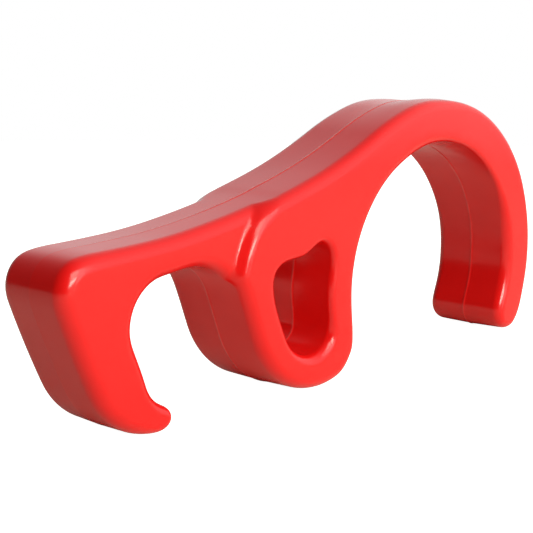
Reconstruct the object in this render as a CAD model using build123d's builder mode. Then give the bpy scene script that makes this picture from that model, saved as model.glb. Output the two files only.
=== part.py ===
from build123d import *
import math
import os

# ---------------------------------------------------------------------------
# Frame grip for lifting beehive frames.
#
# A rigid, one-hand lever tool moulded as two half shells that meet on the
# middle plane Y = 0.  The hook on the left and the outer wall of the loop
# straddle a frame's top bar; the large open C on the right is the hand hold.
#
# Frame: +X along the tool (hook at -X, hand hold at +X), +Y from the front
# half to the rear half, +Z up.  Origin at the centre of the footprint, with
# the three low points (hook, loop, hand hold) resting on Z = 0.
# All lengths are millimetres.
# ---------------------------------------------------------------------------

BODY_HALF = 12.0        # half depth of the body, the loop and the hand hold
ARM_HALF = 9.6          # half depth of the slimmer arm and hook
WALL = 2.4              # moulded wall thickness, faces and sides alike
BODY_EDGE_R = 2.9       # rounding of the body's outer edges
ARM_EDGE_R = 2.3        # rounding of the arm's and hook's outer edges
STEP_R = 0.9            # soft root where the arm's face meets the body
RIB = 1.8               # cross webs inside the shells
BOSS_R = 2.9            # bosses that carry the locating pegs
TONGUE_IN = 0.8         # rim tongue: distance in from the outer wall
TONGUE_WIDE = 0.8       # rim tongue: width
TONGUE_TALL = 0.8       # rim tongue: height past the middle plane
RIM_CLEAR = 0.1         # clearance of the groove around the tongue
PEG_R = 1.4             # locating peg on the rear half
PEG_CLEAR = 0.08        # radial clearance of the socket in the front half
PEG_LEN = 5.0           # how far a peg reaches past the middle plane
SOCKET_LEN = 5.6        # depth of a socket

# Drawing plane of every outline: the middle plane, seen from the front, placed
# so that the finished tool is centred on X = 0.
PROFILE = Plane(origin=(0.115, 0, 0), x_dir=(1, 0, 0), z_dir=(0, -1, 0))

# Outlines are closed chains of tangent arcs in the XZ plane.  Each entry is
# (x, z, heading in degrees); between two entries run two arcs that leave the
# first entry and reach the second one at exactly those headings.

# Body, loop and hand hold, counter-clockwise from the top of the body.
BODY = [
    (-7.5, 51.9, -158.4),
    (-24.0, 46.4, -163.8),
    (-29.0, 44.9, -162.5),
    (-36.4, 40.2, -124.0),
    (-39.3, 33.0, -96.0),
    (-39.2, 25.4, -76.0),
    (-35.3, 14.9, -68.9),
    (-27.0, 4.3, -35.0),
    (-12.5, -0.0, 1.0),
    (-2.2, 4.0, 54.0),
    (-0.1, 8.3, 87.0),
    (-0.9, 20.0, 92.2),
    (15.9, 49.0, 29.5),
    (40.2, 55.1, -7.2),
    (70.8, 27.5, -80.3),
    (69.3, 10.8, -112.3),
    (68.6, 3.4, -62.0),
    (75.1, 0.0, 0.0),
    (79.7, 2.7, 51.5),
    (83.8, 12.5, 75.1),
    (73.4, 51.0, 134.0),
    (44.3, 65.5, 173.4),
    (21.1, 64.0, -162.6),
]

# Arm and hook.  The right end is buried in the body.
ARM = [
    (-24.0, 46.4, -163.8),
    (-29.0, 44.9, -165.0),
    (-50.0, 40.4, -170.3),
    (-75.6, 37.9, -177.1),
    (-84.0, 34.8, -124.6),
    (-82.1, 20.7, -67.7),
    (-70.2, 2.4, -29.7),
    (-61.0, 0.0, 0.0),
    (-57.6, 3.4, 104.0),
    (-61.0, 6.2, 144.0),
    (-65.7, 15.1, 113.0),
    (-67.8, 22.9, 83.6),
    (-59.5, 31.2, 8.4),
    (-46.0, 31.3, -20.0),
    (-38.6, 25.6, -52.0),
]
ARM_END = [(-35.6, 25.0), (-31.6, 31.0), (-24.0, 46.4)]

# The whole outline, for the rim on the middle plane.
FULL = BODY[:2] + ARM[1:14] + [(-39.3, 24.9, -66.0)] + BODY[6:]

# Opening of the loop, clockwise from its right wall.
HOLE = [
    (-9.7, 29.6, -90.0),
    (-10.5, 21.9, -91.3),
    (-9.8, 13.0, -91.0),
    (-13.2, 8.9, -155.0),
    (-20.1, 9.3, 155.7),
    (-28.1, 20.7, 112.5),
    (-26.6, 30.4, 15.6),
    (-17.9, 32.2, 28.9),
    (-11.9, 33.5, -32.1),
]

# Bosses with a locating peg: (x, z)
BODY_BOSSES = [
    (-21.0, 40.6), (-33.0, 24.0), (-25.0, 8.6), (-5.3, 15.0), (9.0, 51.4),
    (36.5, 60.6), (67.2, 48.2), (78.3, 22.0), (74.9, 7.4),
]
ARM_BOSSES = [(-66.6, 7.0), (-76.3, 31.4), (-53.0, 36.0)]

# Cross webs: (x, z, angle of the web in degrees, length)
BODY_RIBS = [
    (-30.0, 36.5, 140.0, 14.0), (-35.0, 32.0, 5.0, 12.0), (-12.0, 43.5, 105.0, 24.0),
    (-5.3, 27.0, 4.0, 12.0), (-31.0, 15.5, 25.0, 12.0), (-14.0, 4.3, 92.0, 12.0),
    (-5.0, 7.0, -38.0, 12.0), (-1.5, 41.0, 150.0, 20.0), (1.0, 49.0, 118.0, 22.0),
    (21.0, 57.8, 112.0, 16.0), (52.5, 57.8, 69.0, 16.0), (75.5, 36.0, 25.0, 16.0),
    (77.0, 13.5, -14.0, 16.0),
]
ARM_RIBS = [
    (-73.0, 14.5, 20.0, 20.0), (-76.5, 23.0, 8.0, 20.0), (-68.0, 35.2, 95.0, 12.0),
    (-60.5, 35.0, 94.0, 12.0), (-45.5, 36.6, 102.0, 14.0),
]


def heading(deg):
    """Unit vector in the sketch plane for a heading in degrees."""
    return Vector(math.cos(math.radians(deg)), math.sin(math.radians(deg)))


def tangent_run(nodes):
    """Tangent arcs through the nodes, two between each pair of neighbours."""
    for (x0, z0, h0), (x1, z1, h1) in zip(nodes, nodes[1:]):
        p0, p1 = Vector(x0, z0), Vector(x1, z1)
        t0, t1 = heading(h0), heading(h1)
        chord = p1 - p0
        along = chord.dot(t0 + t1)
        spread = 2.0 * (1.0 - t0.dot(t1))
        if spread > 1e-9:
            arm = (-along + math.sqrt(along ** 2 + spread * chord.dot(chord))) / spread
        else:
            arm = chord.dot(chord) / (2.0 * along)
        q0, q1 = p0 + t0 * arm, p1 - t1 * arm
        joint = (q0 + q1) * 0.5
        for start, end, direction in ((p0, joint, t0), (joint, p1, q1 - q0)):
            span = end - start
            bend = abs(direction.X * span.Y - direction.Y * span.X) / direction.length
            if bend < 1e-4 * span.length:
                Line(start, end)
            else:
                TangentArc(start, end, tangent=direction)


def half_outline_edges(part, half):
    """Edges that lie wholly in the outer face at Y = -half."""
    return part.edges().filter_by_position(Axis.Y, -half - 0.01, -half + 0.01)


# --- outer forms of the front half ------------------------------------------

with BuildPart() as body_outer:
    with BuildSketch(PROFILE):
        with BuildLine():
            tangent_run(BODY + BODY[:1])
        make_face()
        with BuildLine():
            tangent_run(HOLE + HOLE[:1])
        make_face(mode=Mode.SUBTRACT)
    extrude(amount=BODY_HALF)
    fillet(half_outline_edges(body_outer, BODY_HALF), radius=BODY_EDGE_R)

with BuildPart() as arm_outer:
    with BuildSketch(PROFILE):
        with BuildLine():
            tangent_run(ARM)
            Line((ARM[-1][0], ARM[-1][1]), ARM_END[0])
            Polyline(*ARM_END)
        make_face()
    extrude(amount=ARM_HALF)
    fillet(
        half_outline_edges(arm_outer, ARM_HALF).filter_by(lambda e: e.center().X < -40.0),
        radius=ARM_EDGE_R,
    )

# --- cavities: the outlines drawn in by one wall, less webs and bosses -------

with BuildPart() as body_cavity:
    with BuildSketch(PROFILE):
        with BuildLine():
            tangent_run(BODY + BODY[:1])
        make_face()
        with BuildLine():
            tangent_run(HOLE + HOLE[:1])
        make_face(mode=Mode.SUBTRACT)
        offset(amount=-WALL, kind=Kind.ARC)
        for x, z, angle, length in BODY_RIBS:
            with Locations((x, z)):
                Rectangle(length, RIB, rotation=angle, mode=Mode.SUBTRACT)
        with Locations(*BODY_BOSSES):
            Circle(BOSS_R, mode=Mode.SUBTRACT)
    extrude(amount=BODY_HALF - WALL)

with BuildPart() as arm_cavity:
    with BuildSketch(PROFILE):
        with BuildLine():
            tangent_run(ARM)
            Line((ARM[-1][0], ARM[-1][1]), ARM_END[0])
            Polyline(*ARM_END)
        make_face()
        offset(amount=-WALL, kind=Kind.ARC)
        for x, z, angle, length in ARM_RIBS:
            with Locations((x, z)):
                Rectangle(length, RIB, rotation=angle, mode=Mode.SUBTRACT)
        with Locations(*ARM_BOSSES):
            Circle(BOSS_R, mode=Mode.SUBTRACT)
    extrude(amount=ARM_HALF - WALL)

# --- sealing rim: a tongue on the rear half, a groove in the front half ------


def rim_blank(inset, depth):
    """The whole outline drawn in by `inset`, as deep as `depth`."""
    with BuildPart() as blank:
        with BuildSketch(PROFILE):
            with BuildLine():
                tangent_run(FULL + FULL[:1])
            make_face()
            with BuildLine():
                tangent_run(HOLE + HOLE[:1])
            make_face(mode=Mode.SUBTRACT)
            offset(amount=-inset, kind=Kind.ARC)
        extrude(amount=depth)
    return blank.part


with BuildPart() as tongue:
    add(rim_blank(TONGUE_IN, TONGUE_TALL))
    add(rim_blank(TONGUE_IN + TONGUE_WIDE, TONGUE_TALL + 1.0), mode=Mode.SUBTRACT)

with BuildPart() as groove:
    add(rim_blank(TONGUE_IN - RIM_CLEAR, TONGUE_TALL + 2 * RIM_CLEAR))
    add(rim_blank(TONGUE_IN + TONGUE_WIDE + RIM_CLEAR, TONGUE_TALL + 1.0), mode=Mode.SUBTRACT)

# --- the shell that both halves share ----------------------------------------

with BuildPart() as shell:
    add(body_outer.part)
    add(arm_outer.part)
    step_root = (
        shell.edges()
        .filter_by_position(Axis.Y, -ARM_HALF - 0.02, -ARM_HALF + 0.02)
        .filter_by(lambda e: -40.5 < e.center().X < -29.0 and e.center().Z > 29.8)
        .filter_by(lambda e: abs(e.bounding_box().max.Y + ARM_HALF) < 0.02)
        .filter_by(lambda e: abs(e.bounding_box().min.Y + ARM_HALF) < 0.02)
    )
    fillet(step_root, radius=STEP_R)
    add(body_cavity.part, mode=Mode.SUBTRACT)
    add(arm_cavity.part, mode=Mode.SUBTRACT)

PEGS = BODY_BOSSES + ARM_BOSSES

with BuildPart() as front_half:
    add(shell.part)
    add(groove.part, mode=Mode.SUBTRACT)
    with BuildSketch(PROFILE):
        with Locations(*PEGS):
            Circle(PEG_R + PEG_CLEAR)
    extrude(amount=SOCKET_LEN, mode=Mode.SUBTRACT)
front_half.part.label = "front_half"

with BuildPart() as rear_half:
    add(shell.part)
    mirror(about=PROFILE, mode=Mode.REPLACE)
    add(tongue.part)
    with BuildSketch(PROFILE):
        with Locations(*PEGS):
            Circle(PEG_R)
    extrude(amount=PEG_LEN)
rear_half.part.label = "rear_half"

os.makedirs("parts", exist_ok=True)
export_step(front_half.part, "parts/front_half.step")
export_step(rear_half.part, "parts/rear_half.step")

for piece in (front_half, rear_half):
    box = piece.part.bounding_box()
    print(piece.part.label, piece.part.is_valid, len(piece.part.solids()),
          round(piece.part.volume / 1000, 2), "cm3",
          [round(v, 2) for v in (*box.min, *box.max)])
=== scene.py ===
import math

import bpy
import numpy as np
from mathutils import Matrix, Vector
from mathutils.geometry import delaunay_2d_cdt


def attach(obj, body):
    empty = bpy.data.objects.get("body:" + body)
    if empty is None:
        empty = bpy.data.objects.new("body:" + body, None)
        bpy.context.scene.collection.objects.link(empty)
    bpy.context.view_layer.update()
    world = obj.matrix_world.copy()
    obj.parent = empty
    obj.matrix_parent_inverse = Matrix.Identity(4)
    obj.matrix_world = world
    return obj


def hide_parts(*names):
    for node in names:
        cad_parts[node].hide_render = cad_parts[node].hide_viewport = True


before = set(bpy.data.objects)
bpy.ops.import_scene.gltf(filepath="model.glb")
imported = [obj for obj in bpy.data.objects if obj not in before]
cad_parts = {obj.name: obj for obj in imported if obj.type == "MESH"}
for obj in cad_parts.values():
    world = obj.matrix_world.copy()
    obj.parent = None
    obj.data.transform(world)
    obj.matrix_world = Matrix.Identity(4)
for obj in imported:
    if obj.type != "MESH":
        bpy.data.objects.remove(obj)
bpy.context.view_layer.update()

# ---------------------------------------------------------------------------
# Shape data, in millimetres, the same outlines as the CAD part.
# (x, z, heading in degrees), joined by tangent arcs.
# ---------------------------------------------------------------------------
MM = 0.001
X_SHIFT = 0.115
BODY_HALF = 12.0
ARM_HALF = 9.6

FULL = [
    (-7.5, 51.9, -158.4), (-24.0, 46.4, -163.8), (-29.0, 44.9, -165.0), (-50.0, 40.4, -170.3),
    (-75.6, 37.9, -177.1), (-84.0, 34.8, -124.6), (-82.1, 20.7, -67.7), (-70.2, 2.4, -29.7),
    (-61.0, 0.0, 0.0), (-57.6, 3.4, 104.0), (-61.0, 6.2, 144.0), (-65.7, 15.1, 113.0),
    (-67.8, 22.9, 83.6), (-59.5, 31.2, 8.4), (-46.0, 31.3, -20.0), (-39.3, 24.9, -66.0),
    (-35.3, 14.9, -68.9), (-27.0, 4.3, -35.0), (-12.5, 0.0, 1.0), (-2.2, 4.0, 54.0),
    (-0.1, 8.3, 87.0), (-0.9, 20.0, 92.2), (15.9, 49.0, 29.5), (40.2, 55.1, -7.2),
    (70.8, 27.5, -80.3), (69.3, 10.8, -112.3), (68.6, 3.4, -62.0), (75.1, 0.0, 0.0),
    (79.7, 2.7, 51.5), (83.8, 12.5, 75.1), (73.4, 51.0, 134.0), (44.3, 65.5, 173.4),
    (21.1, 64.0, -162.6),
]
HOLE = [
    (-9.7, 29.6, -90.0), (-10.5, 21.9, -91.3), (-9.8, 13.0, -91.0), (-13.2, 8.9, -155.0),
    (-20.1, 9.3, 155.7), (-28.1, 20.7, 112.5), (-26.6, 30.4, 15.6), (-17.9, 32.2, 28.9),
    (-11.9, 33.5, -32.1),
]
# Middle line of the soft step from the slim arm up to the thick body:
# (x, z, radius of the convex crest, radius of the concave root).
STEP = [
    (-52.0, 22.6, 2.9, 1.5), (-48.0, 24.0, 2.9, 1.5), (-44.2, 25.6, 2.8, 1.5), (-41.9, 27.2, 2.6, 1.4),
    (-40.6, 29.2, 2.4, 1.3), (-39.95, 31.2, 2.2, 1.2), (-39.35, 33.3, 2.2, 1.2), (-38.45, 35.4, 2.2, 1.2),
    (-37.6, 37.1, 2.2, 1.2), (-36.9, 38.35, 2.3, 1.2), (-36.0, 39.65, 2.6, 1.1), (-35.1, 40.8, 3.2, 1.0),
    (-34.1, 42.0, 4.2, 1.0), (-33.1, 43.2, 5.0, 1.0), (-32.2, 44.4, 5.6, 1.0), (-31.4, 46.2, 5.6, 1.0),
    (-30.8, 50.0, 5.6, 1.0),
]
FLANK = math.radians(52.0)                # steepest slope of the step


def arc_chain(nodes, spacing=0.1):
    out = []
    for (x0, z0, h0), (x1, z1, h1) in zip(nodes, nodes[1:] + nodes[:1]):
        p0, p1 = np.array([x0, z0]), np.array([x1, z1])
        t0 = np.array([math.cos(math.radians(h0)), math.sin(math.radians(h0))])
        t1 = np.array([math.cos(math.radians(h1)), math.sin(math.radians(h1))])
        v = p1 - p0
        a, b = v @ (t0 + t1), 2.0 * (1.0 - t0 @ t1)
        d = (-a + math.sqrt(a * a + b * (v @ v))) / b if b > 1e-9 else (v @ v) / (2 * a)
        q0, q1 = p0 + t0 * d, p1 - t1 * d
        joint = (q0 + q1) / 2
        for s, e, t in ((p0, joint, t0), (joint, p1, (q1 - q0) / np.linalg.norm(q1 - q0))):
            w = e - s
            cross = t[0] * w[1] - t[1] * w[0]
            if abs(cross) < 1e-4 * np.linalg.norm(w):
                n = max(2, int(np.linalg.norm(w) / spacing))
                out += [s + w * k / n for k in range(n)]
                continue
            r = (w @ w) / (2 * cross)
            c = s + np.array([-t[1], t[0]]) * r
            a0 = math.atan2(s[1] - c[1], s[0] - c[0])
            a1 = math.atan2(e[1] - c[1], e[0] - c[0])
            da = a1 - a0
            while r > 0 and da < 0:
                da += 2 * math.pi
            while r < 0 and da > 0:
                da -= 2 * math.pi
            n = max(2, int(abs(r * da) / spacing))
            out += [c + abs(r) * np.array([math.cos(a0 + da * k / n), math.sin(a0 + da * k / n)]) for k in range(n)]
    return np.array(out) + [X_SHIFT, 0.0]


def resample(p, spacing):
    closed = np.r_[p, p[:1]]
    d = np.r_[0, np.cumsum(np.hypot(*np.diff(closed, axis=0).T))]
    n = int(round(d[-1] / spacing))
    t = np.arange(n) * d[-1] / n
    return np.c_[np.interp(t, d, closed[:, 0]), np.interp(t, d, closed[:, 1])], d[-1] / n


def blur(p, sigma):
    """Periodic Gaussian blur along the outline, sigma in samples."""
    n = len(p)
    f = np.fft.rfftfreq(n)
    g = np.exp(-2 * (math.pi * f * sigma) ** 2)[:, None]
    # one step of unsharp correction keeps the small radii from shrinking
    g = g * (2.0 - g)
    return np.fft.irfft(np.fft.rfft(p, axis=0) * g, n, axis=0)


def smooth_outline(nodes, spacing):
    p, step = resample(arc_chain(nodes), 0.1)
    p = blur(p, 1.3 / step)
    p, step = resample(p, spacing)
    t = np.roll(p, -1, axis=0) - np.roll(p, 1, axis=0)
    t = t / np.hypot(*t.T)[:, None]
    return p, np.c_[t[:, 1], -t[:, 0]]       # points, outward normals


SPACING = 0.36
OUT_P, OUT_N = smooth_outline(FULL, SPACING)
HOLE_P, HOLE_N = smooth_outline(HOLE, SPACING)

# --- depth of the two levels -------------------------------------------------
_step = np.array(STEP) + [X_SHIFT, 0.0, 0.0, 0.0]
_d = np.r_[0, np.cumsum(np.hypot(*np.diff(_step[:, :2], axis=0).T))]
_t = np.linspace(0, _d[-1], 900)
_sp = np.stack([np.interp(_t, _d, _step[:, i]) for i in range(4)], axis=1)
_pad = np.r_[_sp[:1].repeat(60, 0), _sp, _sp[-1:].repeat(60, 0)]
_k = np.exp(-0.5 * (np.arange(-60, 61) / 22.0) ** 2)
_k /= _k.sum()
_sm = np.stack([np.convolve(_pad[:, i], _k, "valid") for i in range(4)], axis=1)
STEP_P, STEP_R1, STEP_R2 = _sm[:, :2], _sm[:, 2], _sm[:, 3]
STEP_T = np.gradient(STEP_P, axis=0)
STEP_T /= np.hypot(*STEP_T.T)[:, None]


def step_distance(q):
    """Signed distance to the step's middle line, positive on the thick body's side, and where along it."""
    out, at = np.empty(len(q)), np.empty(len(q), int)
    for i in range(0, len(q), 4000):
        c = q[i:i + 4000]
        d2 = ((c[:, None, :] - STEP_P[None]) ** 2).sum(2)
        k = d2.argmin(1)
        w = c - STEP_P[k]
        side = STEP_T[k, 0] * w[:, 1] - STEP_T[k, 1] * w[:, 0]
        out[i:i + 4000] = -np.sign(side) * np.sqrt(d2[np.arange(len(c)), k])
        at[i:i + 4000] = k
    return out, at


def half_depth(q):
    """Half depth of the tool at points of the outline plane: slim arm, soft step, thick body."""
    near = (q[:, 0] < -25.0) & (q[:, 0] > -48.0)
    d = np.where(q[:, 0] > -30.0, 9.0, -9.0)
    at = np.zeros(len(q), int)
    if near.any():
        d[near], at[near] = step_distance(q[near])
    r1, r2 = STEP_R1[at], STEP_R2[at]
    rise = BODY_HALF - ARM_HALF
    slope = np.minimum(FLANK, np.arccos(1 - rise / (r1 + r2)))
    cs, sn = np.cos(slope), np.sin(slope)
    flat = np.maximum(rise - (r1 + r2) * (1 - cs), 0.0) / sn                 # straight run between the two rounds
    half = 0.5 * flat * cs
    a, b = r1 * sn + half, r2 * sn + half
    mid = ARM_HALF + r2 * (1 - cs) + 0.5 * flat * sn
    h = mid + d * sn / cs
    up = d > half
    h[up] = (BODY_HALF - r1 + np.sqrt(np.maximum(r1 ** 2 - np.maximum(a - d, 0) ** 2, 0)))[up]
    lo = d < -half
    h[lo] = (ARM_HALF + r2 - np.sqrt(np.maximum(r2 ** 2 - np.maximum(d + b, 0) ** 2, 0)))[lo]
    return h


def bump(x, centre, width):
    return np.exp(-((x - centre) / width) ** 2)


def edge_radius(p, hole, side):
    """Rounding of the outer edge, which eases from place to place round the moulding."""
    x, z = p[:, 0], p[:, 1]
    if hole:                                                  # crisp on the right, softer left and below
        right = 1 / (1 + np.exp(-(x + 13.5) / 1.2)) / (1 + np.exp(-(z - 14.0) / 1.0))
        upper = 1 / (1 + np.exp(-(z - 29.5) / 1.0))
        return 2.4 - 0.8 * right - 0.8 * upper * (1 - right)
    r = np.full(len(p), 2.9)
    r += (0.3 if side < 0 else 0.1) / (1 + np.exp((x + 74.0) / 1.5))     # hook's outer wall is softer
    r -= 1.0 * bump(x, -59.0, 6.0) * bump(z, 2.5, 7.0)        # lip
    r -= 0.5 * bump(x, 74.0, 8.0) * bump(z, 2.0, 7.0)         # end of the hand hold
    inner = np.hypot(x - 35.0, z - 20.0) < 38.6
    r -= 1.8 * inner / (1 + np.exp(-(z - 37.0) / 3.0)) / (1 + np.exp(-(x - 32.0) / 2.5))   # crisp under the top
    crown = ~inner & (x > 20.0)
    r -= 1.1 * crown / (1 + np.exp(-(x - 45.0) / 3.5)) / (1 + np.exp(-(z - 44.0) / 3.5))
    k = np.exp(-0.5 * (np.arange(-24, 25) / 8.0) ** 2)
    k /= k.sum()
    return np.convolve(np.r_[r[-24:], r, r[:24]], k, "valid")


BEAD_H, BEAD_W = 0.12, 0.50
DRAFT = math.tan(math.radians(1.1))


def bead_height(p, hole):
    """The parting line stands proud on the body, fades along the arm and is dressed off on the hook."""
    if hole:
        return np.full(len(p), BEAD_H)
    x = p[:, 0]
    h = 0.03 + 0.97 / (1 + np.exp(-(x + 42.0) / 2.5))
    h = np.where(x < -42, np.maximum(h, 0.10 + 0.30 / (1 + np.exp(-(x + 72.0) / 3.0)) * (p[:, 1] > 33)), h)
    k = np.exp(-0.5 * (np.arange(-24, 25) / 8.0) ** 2)
    k /= k.sum()
    return BEAD_H * np.convolve(np.r_[h[-24:], h, h[:24]], k, "valid")


def wall_offset(p, y, hole, side):
    """How far the side wall stands out from the outline at height y above the middle plane."""
    out = -DRAFT * (y - 4.5)
    out += bead_height(p, hole) * np.where(y < BEAD_W, 0.5 * (1 + np.cos(math.pi * np.minimum(y / BEAD_W, 1.0))), 0.0)
    if not hole:
        x, z = p[:, 0], p[:, 1]
        top = (z > 58.0)
        # shallow sink along the middle of the crown, with a slight swell beside it
        ys = side * y
        out -= 0.43 * bump(x, 38.0, 16.0) * bump(ys, 1.4, 4.0) * top
        out += 0.38 * bump(x, 42.0, 15.0) * bump(ys, -6.3, 3.2) * top
        out += 0.16 * bump(x, 42.0, 15.0) * bump(ys, 7.6, 3.0) * top
        gate = bump(x, 71.3, 2.0) * bump(z, 21.0, 1.5) * bump(y, 0.0, 1.2)
        out += 0.16 * gate                                               # trimmed gate
    return out


def half_mesh(name, side):
    """One closed half of the moulding: seam rim, drafted wall, rounded edge, stepped face."""
    verts, faces = [], []
    seam_loops, face_loops = [], []
    near = [0.0, 0.08, 0.16, 0.24, 0.32, 0.41, 0.5, 0.62, 0.85, 1.2]
    n_wall, n_arc = 7, 15
    for p, n, hole in ((OUT_P, OUT_N, False), (HOLE_P, HOLE_N, True)):
        count = len(p)
        r = edge_radius(p, hole, side)
        rings = []
        for y in near:
            yy = np.full(count, y)
            rings.append((p + n * wall_offset(p, yy, hole, side)[:, None], yy))
        top = half_depth(p) - r
        for k in range(1, n_wall + 1):
            t = k / n_wall
            yy = near[-1] + (top - near[-1]) * t
            rings.append((p + n * wall_offset(p, yy, hole, side)[:, None], yy))
        for k in range(1, n_arc + 1):
            phi = math.pi / 2 * k / n_arc
            off = wall_offset(p, top, hole, side) - r * (1 - math.cos(phi))
            q = p + n * off[:, None]
            rings.append((q, half_depth(q) - r + r * math.sin(phi)))
        base = len(verts)
        for q, y in rings:
            verts += [(a * MM, side * b * MM, c * MM) for (a, c), b in zip(q, y)]
        for j in range(len(rings) - 1):
            for i in range(count):
                a = base + j * count + i
                b = base + j * count + (i + 1) % count
                faces.append((a, b, b + count, a + count))
        seam_loops.append(list(range(base, base + count)))
        last = base + (len(rings) - 1) * count
        face_loops.append(list(range(last, last + count)))

    def inside(points, loops):
        ok = np.zeros(len(points), bool)
        for loop in loops:
            poly = np.array([(verts[i][0] / MM, verts[i][2] / MM) for i in loop])
            a, b = poly, np.roll(poly, -1, axis=0)
            for k in range(0, len(points), 2000):
                c = points[k:k + 2000]
                cond = (a[None, :, 1] > c[:, None, 1]) != (b[None, :, 1] > c[:, None, 1])
                with np.errstate(divide="ignore", invalid="ignore"):
                    xi = (b[:, 0] - a[:, 0]) * (c[:, None, 1] - a[:, 1]) / (b[:, 1] - a[:, 1]) + a[:, 0]
                ok[k:k + 2000] ^= (np.sum(cond & (c[:, None, 0] < xi), axis=1) % 2).astype(bool)
        return ok

    def fill(loops, extra):
        ids = [i for loop in loops for i in loop]
        pts = [Vector((verts[i][0] / MM, verts[i][2] / MM)) for i in ids]
        edges, k = [], 0
        for loop in loops:
            m = len(loop)
            edges += [(k + i, k + (i + 1) % m) for i in range(m)]
            k += m
        for q, y in extra:
            ids.append(len(verts))
            verts.append((q[0] * MM, side * y * MM, q[1] * MM))
            pts.append(Vector((float(q[0]), float(q[1]))))
        v2, _, f2, vo, _, _ = delaunay_2d_cdt(pts, edges, [], 1, 1e-7, True)
        remap = []
        for co, orig in zip(v2, vo):
            if orig:
                remap.append(ids[orig[0]])
            else:
                h = half_depth(np.array([[co[0], co[1]]]))[0]
                remap.append(len(verts))
                verts.append((co[0] * MM, side * h * MM, co[1] * MM))
        tri = np.array([[v2[i][:] for i in f[:3]] for f in f2])
        keep = inside(tri.mean(1), loops)
        return [tuple(remap[i] for i in f) for f, ok in zip(f2, keep) if ok]

    # face: loose points give the step its curvature and the flats even triangles
    gx, gz = np.meshgrid(np.arange(-84, 85, 1.7), np.arange(1, 66, 1.7))
    gx[::2] += 0.85
    coarse = np.c_[gx.ravel(), gz.ravel()]
    gx, gz = np.meshgrid(np.arange(-46, -28, 0.42), np.arange(24, 48, 0.42))
    gx[::2] += 0.21
    fine = np.c_[gx.ravel(), gz.ravel()]
    sd = np.abs(step_distance(fine)[0])
    fine = fine[sd < 4.2]
    cd = np.full(len(coarse), 9.0)
    m = (coarse[:, 0] > -48) & (coarse[:, 0] < -26)
    cd[m] = np.abs(step_distance(coarse[m])[0])
    coarse = coarse[cd > 4.6]
    rim = np.array([(verts[i][0] / MM, verts[i][2] / MM) for loop in face_loops for i in loop])
    extra = []
    for pts, gap in ((coarse, 0.9), (fine, 0.28)):
        pts = pts[inside(pts, face_loops)]
        d = np.concatenate([np.sqrt(((pts[k:k + 500, None] - rim[None]) ** 2).sum(2)).min(1) for k in range(0, len(pts), 500)])
        pts = pts[d > gap]
        extra += list(zip(pts, half_depth(pts)))
    faces += fill(face_loops, extra)
    faces += fill(seam_loops, [])

    me = bpy.data.meshes.new(name)
    me.from_pydata(verts, [], faces)
    me.update()
    import bmesh
    bm = bmesh.new()
    bm.from_mesh(me)
    loose = [v for v in bm.verts if not v.link_faces]
    bmesh.ops.delete(bm, geom=loose, context="VERTS")
    bmesh.ops.recalc_face_normals(bm, faces=bm.faces)
    # the seam cap is flat and meets the wall at a sharp edge
    for e in bm.edges:
        if all(abs(v.co.y) < 1e-7 for v in e.verts):
            e.smooth = False
    for f in bm.faces:
        f.smooth = True
    bm.to_mesh(me)
    open_edges = sum(1 for e in bm.edges if len(e.link_faces) != 2)
    bm.free()
    ob = bpy.data.objects.new(name, me)
    bpy.context.scene.collection.objects.link(ob)
    print("PIECE", name, len(me.vertices), "verts", len(me.polygons), "faces", "open edges", open_edges)
    return ob


# ---------------------------------------------------------------------------
# Material: gloss red moulded plastic
# ---------------------------------------------------------------------------

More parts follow.
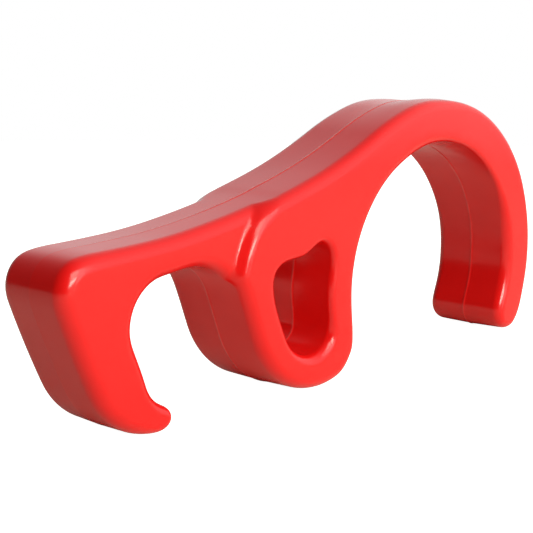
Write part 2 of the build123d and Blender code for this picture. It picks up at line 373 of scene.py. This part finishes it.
def red_plastic():
    mat = bpy.data.materials.new("red_plastic")
    mat.use_nodes = True
    nt = mat.node_tree
    nt.nodes.clear()
    N, L = nt.nodes.new, nt.links.new
    out = N("ShaderNodeOutputMaterial")
    bsdf = N("ShaderNodeBsdfPrincipled")
    L(bsdf.outputs[0], out.inputs[0])
    co = N("ShaderNodeTexCoord")

    def noise(scale, detail=2.0, rough=0.5, vec=None):
        n = N("ShaderNodeTexNoise")
        n.inputs["Scale"].default_value = scale
        n.inputs["Detail"].default_value = detail
        n.inputs["Roughness"].default_value = rough
        L(vec if vec is not None else co.outputs["Object"], n.inputs["Vector"])
        return n

    def ramp(src, lo, hi, a=0.0, b=1.0):
        m = N("ShaderNodeMapRange")
        m.inputs["From Min"].default_value = lo
        m.inputs["From Max"].default_value = hi
        m.inputs["To Min"].default_value = a
        m.inputs["To Max"].default_value = b
        L(src, m.inputs["Value"])
        return m

    # colour: slow flow variation of the pigment, paler scuffed edges
    flow_map = N("ShaderNodeMapping")
    flow_map.inputs["Scale"].default_value = (0.55, 1.0, 1.6)
    L(co.outputs["Object"], flow_map.inputs["Vector"])
    flow = noise(34.0, 3.0, 0.55, flow_map.outputs[0])
    mix = N("ShaderNodeMix")
    mix.data_type = "RGBA"
    mix.inputs["A"].default_value = (0.78, 0.0076, 0.0070, 1)
    mix.inputs["B"].default_value = (0.85, 0.0100, 0.0090, 1)
    L(ramp(flow.outputs["Fac"], 0.3, 0.7).outputs[0], mix.inputs["Factor"])

    geo = N("ShaderNodeNewGeometry")
    edge = ramp(geo.outputs["Pointiness"], 0.515, 0.60)
    patch = ramp(noise(160.0, 4.0, 0.6).outputs["Fac"], 0.48, 0.66)
    wear = N("ShaderNodeMath")
    wear.operation = "MULTIPLY"
    L(edge.outputs[0], wear.inputs[0])
    L(patch.outputs[0], wear.inputs[1])
    wear_s = N("ShaderNodeMath")
    wear_s.operation = "MULTIPLY"
    wear_s.inputs[1].default_value = 0.10
    L(wear.outputs[0], wear_s.inputs[0])
    mix2 = N("ShaderNodeMix")
    mix2.data_type = "RGBA"
    mix2.inputs["B"].default_value = (0.86, 0.085, 0.065, 1)
    L(mix.outputs["Result"], mix2.inputs["A"])
    L(wear_s.outputs[0], mix2.inputs["Factor"])

    # the parting line: a hair duller than the gloss beside it, and painted paler as a painted highlight of the raised
    # bead, strongest on the body's top and outside the hand hold
    pos = N("ShaderNodeSeparateXYZ")
    L(co.outputs["Object"], pos.inputs[0])
    off = N("ShaderNodeMath")
    off.operation = "ABSOLUTE"
    L(pos.outputs[1], off.inputs[0])
    line = ramp(off.outputs[0], 0.00014, 0.00034, 1.0, 0.0)
    along = ramp(pos.outputs[0], -0.078, -0.045, 0.04, 1.0)
    # painted highlight made stronger higher up, where the light falls on the bead
    high = ramp(pos.outputs[2], 0.032, 0.042, 0.4, 1.0)
    span = N("ShaderNodeVectorMath")
    span.operation = "DISTANCE"
    span.inputs[1].default_value = (0.035, 0.0, 0.020)
    L(co.outputs["Object"], span.inputs[0])
    outside = ramp(span.outputs["Value"], 0.0385, 0.0400, 0.35, 1.0)
    broken = ramp(noise(420.0, 2.0, 0.6).outputs["Fac"], 0.35, 0.6, 0.55, 1.0)
    seam = line.outputs[0]
    for other in (along, high, outside, broken):
        m = N("ShaderNodeMath")
        m.operation = "MULTIPLY"
        L(seam, m.inputs[0])
        L(other.outputs[0], m.inputs[1])
        seam = m.outputs[0]
    seam_highlight_amount = N("ShaderNodeMath")
    seam_highlight_amount.operation = "MULTIPLY"
    seam_highlight_amount.inputs[1].default_value = 0.42
    L(seam, seam_highlight_amount.inputs[0])
    # painted highlight: the seam band's colour is mixed towards pale pink
    seam_highlight_mix = N("ShaderNodeMix")
    seam_highlight_mix.data_type = "RGBA"
    seam_highlight_mix.inputs["B"].default_value = (0.90, 0.30, 0.27, 1)
    L(mix2.outputs["Result"], seam_highlight_mix.inputs["A"])
    L(seam_highlight_amount.outputs[0], seam_highlight_mix.inputs["Factor"])
    L(seam_highlight_mix.outputs["Result"], bsdf.inputs["Base Color"])

    # roughness: handled gloss with faint cloudiness and fine hairline marks
    cloud = noise(60.0, 4.0, 0.6)
    hair_map = N("ShaderNodeMapping")
    hair_map.inputs["Rotation"].default_value = (0.3, 0.2, 0.5)
    hair_map.inputs["Scale"].default_value = (6.0, 90.0, 90.0)
    L(co.outputs["Object"], hair_map.inputs["Vector"])
    hair = noise(22.0, 2.0, 0.5, hair_map.outputs[0])
    r1 = ramp(cloud.outputs["Fac"], 0.3, 0.7, 0.16, 0.22)
    r2 = ramp(hair.outputs["Fac"], 0.62, 0.80, 0.0, 0.018)
    add = N("ShaderNodeMath")
    add.operation = "ADD"
    L(r1.outputs[0], add.inputs[0])
    L(r2.outputs[0], add.inputs[1])
    add2 = N("ShaderNodeMath")
    add2.operation = "MULTIPLY_ADD"
    add2.inputs[1].default_value = 0.12
    L(seam, add2.inputs[0])
    L(add.outputs[0], add2.inputs[2])
    L(add2.outputs[0], bsdf.inputs["Roughness"])

    # relief: soft moulding waviness, fine orange peel, a few small pits
    wave = noise(26.0, 1.0, 0.4)
    peel = noise(900.0, 2.0, 0.5)
    pits = N("ShaderNodeTexVoronoi")
    pits.inputs["Scale"].default_value = 62.0
    L(co.outputs["Object"], pits.inputs["Vector"])
    pit = ramp(pits.outputs["Distance"], 0.015, 0.06, 1.0, 0.0)
    sparse = N("ShaderNodeSeparateColor")
    L(pits.outputs["Color"], sparse.inputs[0])
    some = N("ShaderNodeMath")
    some.operation = "GREATER_THAN"
    some.inputs[1].default_value = 0.94
    L(sparse.outputs[0], some.inputs[0])
    pit_on = N("ShaderNodeMath")
    pit_on.operation = "MULTIPLY"
    L(pit.outputs[0], pit_on.inputs[0])
    L(some.outputs[0], pit_on.inputs[1])

    b1 = N("ShaderNodeBump")
    b1.inputs["Strength"].default_value = 0.5
    b1.inputs["Distance"].default_value = 0.0006
    L(wave.outputs["Fac"], b1.inputs["Height"])
    b2 = N("ShaderNodeBump")
    b2.inputs["Strength"].default_value = 0.35
    b2.inputs["Distance"].default_value = 0.00002
    L(peel.outputs["Fac"], b2.inputs["Height"])
    L(b1.outputs[0], b2.inputs["Normal"])
    b3 = N("ShaderNodeBump")
    b3.inputs["Strength"].default_value = 0.35
    b3.inputs["Distance"].default_value = 0.00006
    L(pit_on.outputs[0], b3.inputs["Height"])
    L(b2.outputs[0], b3.inputs["Normal"])
    L(b3.outputs[0], bsdf.inputs["Normal"])

    bsdf.inputs["IOR"].default_value = 1.50
    bsdf.inputs["Subsurface Weight"].default_value = 0.0
    return mat


plastic = red_plastic()
pieces = {}
for node, side in (("front_half", -1.0), ("rear_half", 1.0)):
    piece = half_mesh(node + "_moulding", side)
    piece.data.materials.append(plastic)
    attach(piece, "root")
    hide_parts(node)
    pieces[node] = piece
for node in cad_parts.values():
    node.data.materials.clear()
    node.data.materials.append(plastic)

# ---------------------------------------------------------------------------
# Stage, lights, camera
# ---------------------------------------------------------------------------
scene = bpy.context.scene
scene.view_settings.view_transform = "Standard"
scene.view_settings.look = "None"
scene.view_settings.exposure = 0.0
scene.view_settings.gamma = 1.0


def floor_material():
    """Plain pale floor, plain white to the camera."""
    mat = bpy.data.materials.new("pale_floor")
    mat.use_nodes = True
    nt = mat.node_tree
    nt.nodes.clear()
    out = nt.nodes.new("ShaderNodeOutputMaterial")
    bsdf = nt.nodes.new("ShaderNodeBsdfPrincipled")
    bsdf.inputs["Base Color"].default_value = (0.80, 0.80, 0.70, 1)
    bsdf.inputs["Roughness"].default_value = 1.0
    bsdf.inputs["Specular IOR Level"].default_value = 0.0
    bsdf.inputs["Emission Color"].default_value = (1, 1, 1, 1)
    lp = nt.nodes.new("ShaderNodeLightPath")
    nt.links.new(lp.outputs["Is Camera Ray"], bsdf.inputs["Emission Strength"])
    nt.links.new(bsdf.outputs[0], out.inputs[0])
    return mat


me = bpy.data.meshes.new("floor")
R = 1.2
ring = [(R * math.cos(2 * math.pi * k / 96), R * math.sin(2 * math.pi * k / 96), -0.00028) for k in range(96)]
me.from_pydata(ring, [], [tuple(range(96))])
floor = bpy.data.objects.new("floor", me)
scene.collection.objects.link(floor)
floor.data.materials.append(floor_material())


def direction(az, el):
    """Azimuth 0 = -Y, 90 = +X."""
    a, e = math.radians(az), math.radians(el)
    return Vector((math.sin(a) * math.cos(e), -math.cos(a) * math.cos(e), math.sin(e)))


# the room: soft pools of light, (azimuth, elevation, tightness, strength)
ROOM = [
    (135, 15, 4.0, 0.80), (50, 18, 3.0, 1.1),
]
world = bpy.data.worlds.new("studio")
scene.world = world
world.use_nodes = True
nt = world.node_tree
nt.nodes.clear()
wo = nt.nodes.new("ShaderNodeOutputWorld")
gen = nt.nodes.new("ShaderNodeTexCoord")
unit = nt.nodes.new("ShaderNodeVectorMath")
unit.operation = "NORMALIZE"
nt.links.new(gen.outputs["Generated"], unit.inputs[0])
total = None
for az, el, tight, strength in ROOM:
    dot = nt.nodes.new("ShaderNodeVectorMath")
    dot.operation = "DOT_PRODUCT"
    dot.inputs[1].default_value = direction(az, el)
    nt.links.new(unit.outputs[0], dot.inputs[0])
    lin = nt.nodes.new("ShaderNodeMath")                                    # tight * (cos - 1)
    lin.operation = "MULTIPLY_ADD"
    lin.inputs[1].default_value = tight
    lin.inputs[2].default_value = -tight
    nt.links.new(dot.outputs["Value"], lin.inputs[0])
    ex = nt.nodes.new("ShaderNodeMath")
    ex.operation = "EXPONENT"
    nt.links.new(lin.outputs[0], ex.inputs[0])
    acc = nt.nodes.new("ShaderNodeMath")
    acc.operation = "MULTIPLY_ADD"
    acc.inputs[1].default_value = strength
    acc.inputs[2].default_value = 0.0
    nt.links.new(ex.outputs[0], acc.inputs[0])
    if total is not None:
        nt.links.new(total, acc.inputs[2])
    total = acc.outputs[0]
bg_cam = nt.nodes.new("ShaderNodeBackground")
bg_cam.inputs[0].default_value = (1, 1, 1, 1)
bg_cam.inputs[1].default_value = 1.0
bg_env = nt.nodes.new("ShaderNodeBackground")
bg_env.inputs[0].default_value = (1.0, 1.0, 1.0, 1)
nt.links.new(total, bg_env.inputs[1])
lp = nt.nodes.new("ShaderNodeLightPath")
mx = nt.nodes.new("ShaderNodeMixShader")
nt.links.new(lp.outputs["Is Camera Ray"], mx.inputs[0])
nt.links.new(bg_env.outputs[0], mx.inputs[1])
nt.links.new(bg_cam.outputs[0], mx.inputs[2])
nt.links.new(mx.outputs[0], wo.inputs[0])


def soft_box(name, az, el, wide, high, radiance, tint=(1.0, 1.0, 1.0), dist=0.9, target=(-0.005, 0, 0.03)):
    """Soft box that fills wide x high degrees, seen from the tool."""
    d = direction(az, el)
    data = bpy.data.lights.new(name, "AREA")
    data.shape = "RECTANGLE"
    data.size = 2 * dist * math.tan(math.radians(wide / 2))
    data.size_y = 2 * dist * math.tan(math.radians(high / 2))
    data.energy = radiance * math.pi * data.size * data.size_y              # watts for that radiance
    data.color = tint
    ob = bpy.data.objects.new(name, data)
    ob.location = Vector(target) + d * dist
    ob.rotation_mode = "QUATERNION"
    ob.rotation_quaternion = d.to_track_quat("Z", "Y")
    scene.collection.objects.link(ob)
    ob.visible_camera = False
    return ob


WARM = (1.0, 0.985, 0.88)
soft_box("key_core", -10, 15, 27, 11, 14.5, WARM)
soft_box("key_soft", -10, 36, 30, 24, 5.0, WARM)
soft_box("side_fill", 18.5, 21, 18, 45, 2.2)

# camera at the photograph's viewing angle
cam = bpy.data.cameras.new("camera")
cam.lens = 71.305
cam.sensor_width = 36.0
cam.clip_start = 0.01
cam.dof.use_dof = False
cam_ob = bpy.data.objects.new("camera", cam)
right = Vector((0.6637580803718048, -0.7478616266548327, 0.011322460789251507))
up = Vector((0.11404686692582298, 0.11615913875394385, 0.9866612218124038))
back = Vector((-0.7392012735957239, -0.6536130673885961, 0.16239284237099313))
m = Matrix((right, up, back)).transposed().to_4x4()
m.translation = Vector((-0.1988092042, -0.1584664572, 0.0673213714))
cam_ob.matrix_world = m
scene.collection.objects.link(cam_ob)
scene.camera = cam_ob
